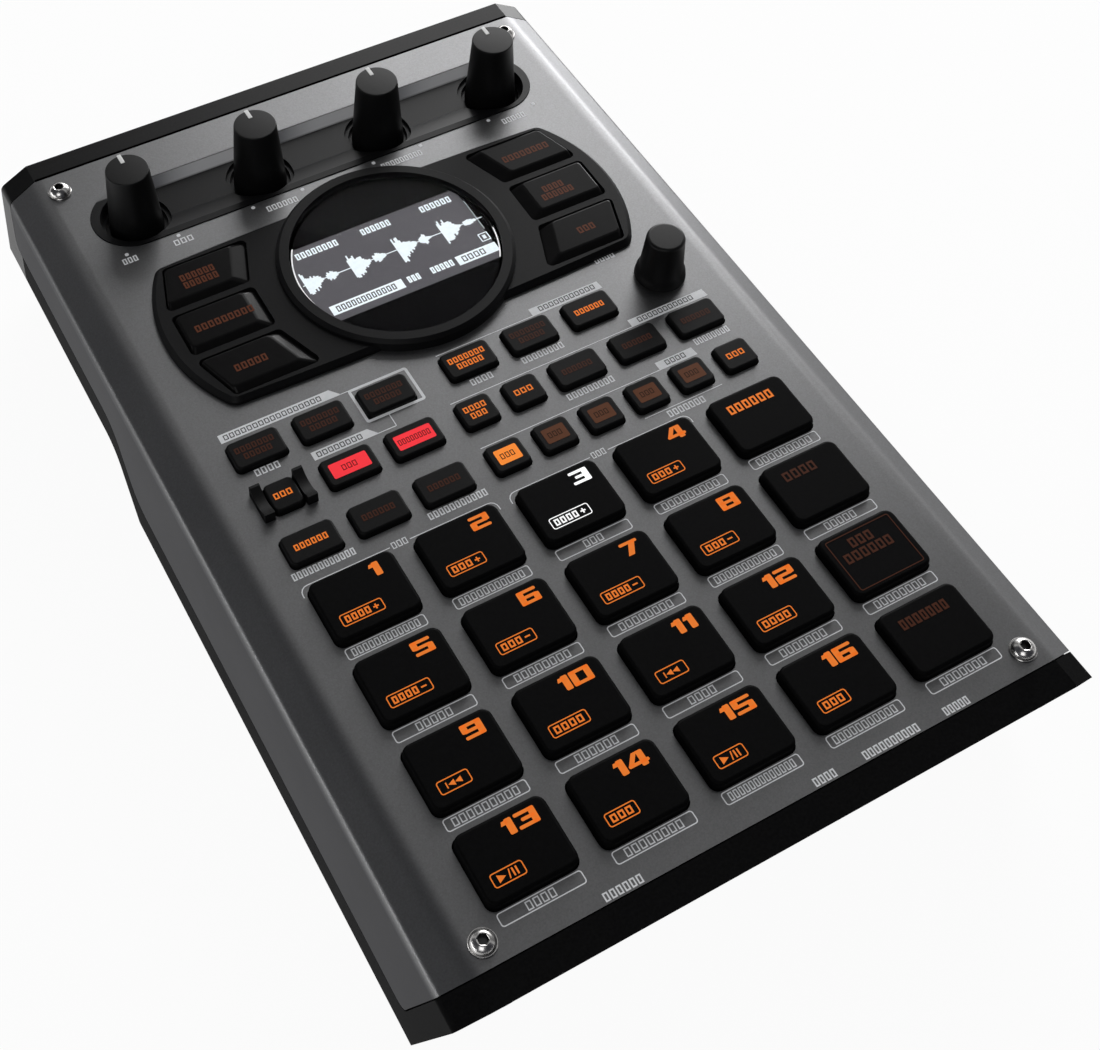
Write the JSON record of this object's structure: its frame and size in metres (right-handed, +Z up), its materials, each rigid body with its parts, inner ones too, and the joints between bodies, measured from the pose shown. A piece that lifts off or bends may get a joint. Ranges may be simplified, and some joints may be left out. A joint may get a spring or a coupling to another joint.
{
  "type": "audio sampler",
  "caption": "Table-top audio sampler: satin grey sheet cover over a black case, a grid of rubber pads, rows of small keys, tapered knobs in a trough and a round display between effect keys.",
  "frame": {"origin": "centre of the base of the whole object's box, on the table plane", "axes": "+X to the player's right, +Y to the rear, +Z up"},
  "size_m": [0.1776, 0.2758, 0.0705],
  "materials": {
    "cover_paint": "satin",
    "bezel_plastic": "satin",
    "base_plastic": "matte",
    "contact_metal": "polished",
    "base_screw": "satin",
    "foot_rubber": "matte",
    "panel_screw": "satin",
    "frame_plastic": "matte",
    "circuit_board": "satin",
    "trough_plastic": "matte",
    "control_body": "satin",
    "plate_plastic": "satin",
    "lens_glass": "polished",
    "display_glass": "polished",
    "socket_plastic": "satin",
    "knob_plastic": "satin",
    "switch_plastic": "satin",
    "shaft_metal": "satin",
    "pad_rubber": "matte",
    "key_rubber": "matte",
    "effect_plastic": "polished"
  },
  "bodies": {
    "housing": {"top_panel": "cover_paint", "front_bezel": "bezel_plastic", "rear_bezel": "bezel_plastic", "bottom_case": "base_plastic", "battery_contacts": "contact_metal", "case_screws": "base_screw", "rubber_feet": "foot_rubber", "panel_screws": "panel_screw", "panel_frame": "frame_plastic", "pad_board": "circuit_board", "knob_trough": "trough_plastic", "rotary_controls": "control_body", "display_plate": "plate_plastic", "display_lens": "lens_glass", "display_module": "display_glass", "front_jacks": "socket_plastic", "rear_jacks": "socket_plastic", "main_board": "circuit_board"},
    "pad_01": {"pad_01": "pad_rubber"},
    "pad_02": {"pad_02": "pad_rubber"},
    "pad_03": {"pad_03": "pad_rubber"},
    "pad_04": {"pad_04": "pad_rubber"},
    "pad_05": {"pad_05": "pad_rubber"},
    "pad_06": {"pad_06": "pad_rubber"},
    "pad_07": {"pad_07": "pad_rubber"},
    "pad_08": {"pad_08": "pad_rubber"},
    "pad_09": {"pad_09": "pad_rubber"},
    "pad_10": {"pad_10": "pad_rubber"},
    "pad_11": {"pad_11": "pad_rubber"},
    "pad_12": {"pad_12": "pad_rubber"},
    "pad_13": {"pad_13": "pad_rubber"},
    "pad_14": {"pad_14": "pad_rubber"},
    "pad_15": {"pad_15": "pad_rubber"},
    "pad_16": {"pad_16": "pad_rubber"},
    "side_pad_1": {"side_pad_1": "pad_rubber"},
    "side_pad_2": {"side_pad_2": "pad_rubber"},
    "side_pad_3": {"side_pad_3": "pad_rubber"},
    "side_pad_4": {"side_pad_4": "pad_rubber"},
    "keys_left_rear": {"keys_left_rear": "key_rubber"},
    "keys_left_middle": {"keys_left_middle": "key_rubber"},
    "keys_left_front": {"keys_left_front": "key_rubber"},
    "keys_right_rear": {"keys_right_rear": "key_rubber"},
    "keys_right_middle": {"keys_right_middle": "key_rubber"},
    "keys_right_front": {"keys_right_front": "key_rubber"},
    "effect_key_1": {"effect_key_1": "effect_plastic"},
    "effect_key_2": {"effect_key_2": "effect_plastic"},
    "effect_key_3": {"effect_key_3": "effect_plastic"},
    "effect_key_4": {"effect_key_4": "effect_plastic"},
    "effect_key_5": {"effect_key_5": "effect_plastic"},
    "effect_key_6": {"effect_key_6": "effect_plastic"},
    "control_knob_1": {"control_knob_1": "knob_plastic"},
    "control_knob_2": {"control_knob_2": "knob_plastic"},
    "control_knob_3": {"control_knob_3": "knob_plastic"},
    "control_knob_4": {"control_knob_4": "knob_plastic"},
    "encoder_shaft": {"encoder_shaft": "shaft_metal"},
    "encoder_knob": {"encoder_knob": "knob_plastic"},
    "gain_knob": {"gain_knob": "knob_plastic"},
    "input_switch": {"input_switch": "switch_plastic"},
    "power_switch": {"power_switch": "switch_plastic"},
    "battery_door": {"battery_door": "base_plastic"}
  },
  "joints": [
    {"name": "pad_01_press", "type": "slide", "parent": "housing", "child": "pad_01", "axis": [0, 0, -1], "range_m": [0, 0.001], "stiffness_N_per_m": 300, "springref_m": -0.001},
    {"name": "pad_02_press", "type": "slide", "parent": "housing", "child": "pad_02", "axis": [0, 0, -1], "range_m": [0, 0.001], "stiffness_N_per_m": 300, "springref_m": -0.001},
    {"name": "pad_03_press", "type": "slide", "parent": "housing", "child": "pad_03", "axis": [0, 0, -1], "range_m": [0, 0.001], "stiffness_N_per_m": 300, "springref_m": -0.001},
    {"name": "pad_04_press", "type": "slide", "parent": "housing", "child": "pad_04", "axis": [0, 0, -1], "range_m": [0, 0.001], "stiffness_N_per_m": 300, "springref_m": -0.001},
    {"name": "pad_05_press", "type": "slide", "parent": "housing", "child": "pad_05", "axis": [0, 0, -1], "range_m": [0, 0.001], "stiffness_N_per_m": 300, "springref_m": -0.001},
    {"name": "pad_06_press", "type": "slide", "parent": "housing", "child": "pad_06", "axis": [0, 0, -1], "range_m": [0, 0.001], "stiffness_N_per_m": 300, "springref_m": -0.001},
    {"name": "pad_07_press", "type": "slide", "parent": "housing", "child": "pad_07", "axis": [0, 0, -1], "range_m": [0, 0.001], "stiffness_N_per_m": 300, "springref_m": -0.001},
    {"name": "pad_08_press", "type": "slide", "parent": "housing", "child": "pad_08", "axis": [0, 0, -1], "range_m": [0, 0.001], "stiffness_N_per_m": 300, "springref_m": -0.001},
    {"name": "pad_09_press", "type": "slide", "parent": "housing", "child": "pad_09", "axis": [0, 0, -1], "range_m": [0, 0.001], "stiffness_N_per_m": 300, "springref_m": -0.001},
    {"name": "pad_10_press", "type": "slide", "parent": "housing", "child": "pad_10", "axis": [0, 0, -1], "range_m": [0, 0.001], "stiffness_N_per_m": 300, "springref_m": -0.001},
    {"name": "pad_11_press", "type": "slide", "parent": "housing", "child": "pad_11", "axis": [0, 0, -1], "range_m": [0, 0.001], "stiffness_N_per_m": 300, "springref_m": -0.001},
    {"name": "pad_12_press", "type": "slide", "parent": "housing", "child": "pad_12", "axis": [0, 0, -1], "range_m": [0, 0.001], "stiffness_N_per_m": 300, "springref_m": -0.001},
    {"name": "pad_13_press", "type": "slide", "parent": "housing", "child": "pad_13", "axis": [0, 0, -1], "range_m": [0, 0.001], "stiffness_N_per_m": 300, "springref_m": -0.001},
    {"name": "pad_14_press", "type": "slide", "parent": "housing", "child": "pad_14", "axis": [0, 0, -1], "range_m": [0, 0.001], "stiffness_N_per_m": 300, "springref_m": -0.001},
    {"name": "pad_15_press", "type": "slide", "parent": "housing", "child": "pad_15", "axis": [0, 0, -1], "range_m": [0, 0.001], "stiffness_N_per_m": 300, "springref_m": -0.001},
    {"name": "pad_16_press", "type": "slide", "parent": "housing", "child": "pad_16", "axis": [0, 0, -1], "range_m": [0, 0.001], "stiffness_N_per_m": 300, "springref_m": -0.001},
    {"name": "side_pad_1_press", "type": "slide", "parent": "housing", "child": "side_pad_1", "axis": [0, 0, -1], "range_m": [0, 0.001], "stiffness_N_per_m": 300, "springref_m": -0.001},
    {"name": "side_pad_2_press", "type": "slide", "parent": "housing", "child": "side_pad_2", "axis": [0, 0, -1], "range_m": [0, 0.001], "stiffness_N_per_m": 300, "springref_m": -0.001},
    {"name": "side_pad_3_press", "type": "slide", "parent": "housing", "child": "side_pad_3", "axis": [0, 0, -1], "range_m": [0, 0.001], "stiffness_N_per_m": 300, "springref_m": -0.001},
    {"name": "side_pad_4_press", "type": "slide", "parent": "housing", "child": "side_pad_4", "axis": [0, 0, -1], "range_m": [0, 0.001], "stiffness_N_per_m": 300, "springref_m": -0.001},
    {"name": "keys_left_rear_press", "type": "slide", "parent": "housing", "child": "keys_left_rear", "axis": [0, 0, -1], "range_m": [0, 0.001], "stiffness_N_per_m": 400, "springref_m": -0.001},
    {"name": "keys_left_middle_press", "type": "slide", "parent": "housing", "child": "keys_left_middle", "axis": [0, 0, -1], "range_m": [0, 0.001], "stiffness_N_per_m": 400, "springref_m": -0.001},
    {"name": "keys_left_front_press", "type": "slide", "parent": "housing", "child": "keys_left_front", "axis": [0, 0, -1], "range_m": [0, 0.001], "stiffness_N_per_m": 400, "springref_m": -0.001},
    {"name": "keys_right_rear_press", "type": "slide", "parent": "housing", "child": "keys_right_rear", "axis": [0, 0, -1], "range_m": [0, 0.001], "stiffness_N_per_m": 400, "springref_m": -0.001},
    {"name": "keys_right_middle_press", "type": "slide", "parent": "housing", "child": "keys_right_middle", "axis": [0, 0, -1], "range_m": [0, 0.001], "stiffness_N_per_m": 400, "springref_m": -0.001},
    {"name": "keys_right_front_press", "type": "slide", "parent": "housing", "child": "keys_right_front", "axis": [0, 0, -1], "range_m": [0, 0.001], "stiffness_N_per_m": 400, "springref_m": -0.001},
    {"name": "effect_key_1_press", "type": "slide", "parent": "housing", "child": "effect_key_1", "axis": [0, 0, -1], "range_m": [0, 0.0008], "stiffness_N_per_m": 300, "springref_m": -0.001},
    {"name": "effect_key_2_press", "type": "slide", "parent": "housing", "child": "effect_key_2", "axis": [0, 0, -1], "range_m": [0, 0.0008], "stiffness_N_per_m": 300, "springref_m": -0.001},
    {"name": "effect_key_3_press", "type": "slide", "parent": "housing", "child": "effect_key_3", "axis": [0, 0, -1], "range_m": [0, 0.0008], "stiffness_N_per_m": 300, "springref_m": -0.001},
    {"name": "effect_key_4_press", "type": "slide", "parent": "housing", "child": "effect_key_4", "axis": [0, 0, -1], "range_m": [0, 0.0008], "stiffness_N_per_m": 300, "springref_m": -0.001},
    {"name": "effect_key_5_press", "type": "slide", "parent": "housing", "child": "effect_key_5", "axis": [0, 0, -1], "range_m": [0, 0.0008], "stiffness_N_per_m": 300, "springref_m": -0.001},
    {"name": "effect_key_6_press", "type": "slide", "parent": "housing", "child": "effect_key_6", "axis": [0, 0, -1], "range_m": [0, 0.0008], "stiffness_N_per_m": 300, "springref_m": -0.001},
    {"name": "control_knob_1_turn", "type": "hinge", "parent": "housing", "child": "control_knob_1", "pos_m": [-0.0573, 0.101, 0.052], "axis": [0, 0, 1], "range_deg": [-150, 150]},
    {"name": "control_knob_2_turn", "type": "hinge", "parent": "housing", "child": "control_knob_2", "pos_m": [-0.0191, 0.101, 0.052], "axis": [0, 0, 1], "range_deg": [-150, 150]},
    {"name": "control_knob_3_turn", "type": "hinge", "parent": "housing", "child": "control_knob_3", "pos_m": [0.0191, 0.101, 0.052], "axis": [0, 0, 1], "range_deg": [-150, 150]},
    {"name": "control_knob_4_turn", "type": "hinge", "parent": "housing", "child": "control_knob_4", "pos_m": [0.0573, 0.101, 0.052], "axis": [0, 0, 1], "range_deg": [-150, 150]},
    {"name": "encoder_press", "type": "slide", "parent": "housing", "child": "encoder_shaft", "axis": [0, 0, -1], "range_m": [0, 0.0005], "stiffness_N_per_m": 400, "springref_m": -0.001},
    {"name": "encoder_turn", "type": "hinge", "parent": "encoder_shaft", "child": "encoder_knob", "pos_m": [0.0611, 0.0135, 0.052], "axis": [0, 0, 1], "continuous": true},
    {"name": "gain_turn", "type": "hinge", "parent": "housing", "child": "gain_knob", "pos_m": [0.0126, -0.125, 0.029], "axis": [0, 1, 0], "range_deg": [-140, 140]},
    {"name": "input_switch_slide", "type": "slide", "parent": "housing", "child": "input_switch", "axis": [1, 0, 0], "range_m": [0, 0.003]},
    {"name": "power_switch_slide", "type": "slide", "parent": "housing", "child": "power_switch", "axis": [1, 0, 0], "range_m": [0, 0.003]},
    {"name": "battery_door_hinge", "type": "hinge", "parent": "housing", "child": "battery_door", "pos_m": [0, 0.049, 0.0041], "axis": [1, 0, 0], "range_deg": [0, 100]}
  ]
}
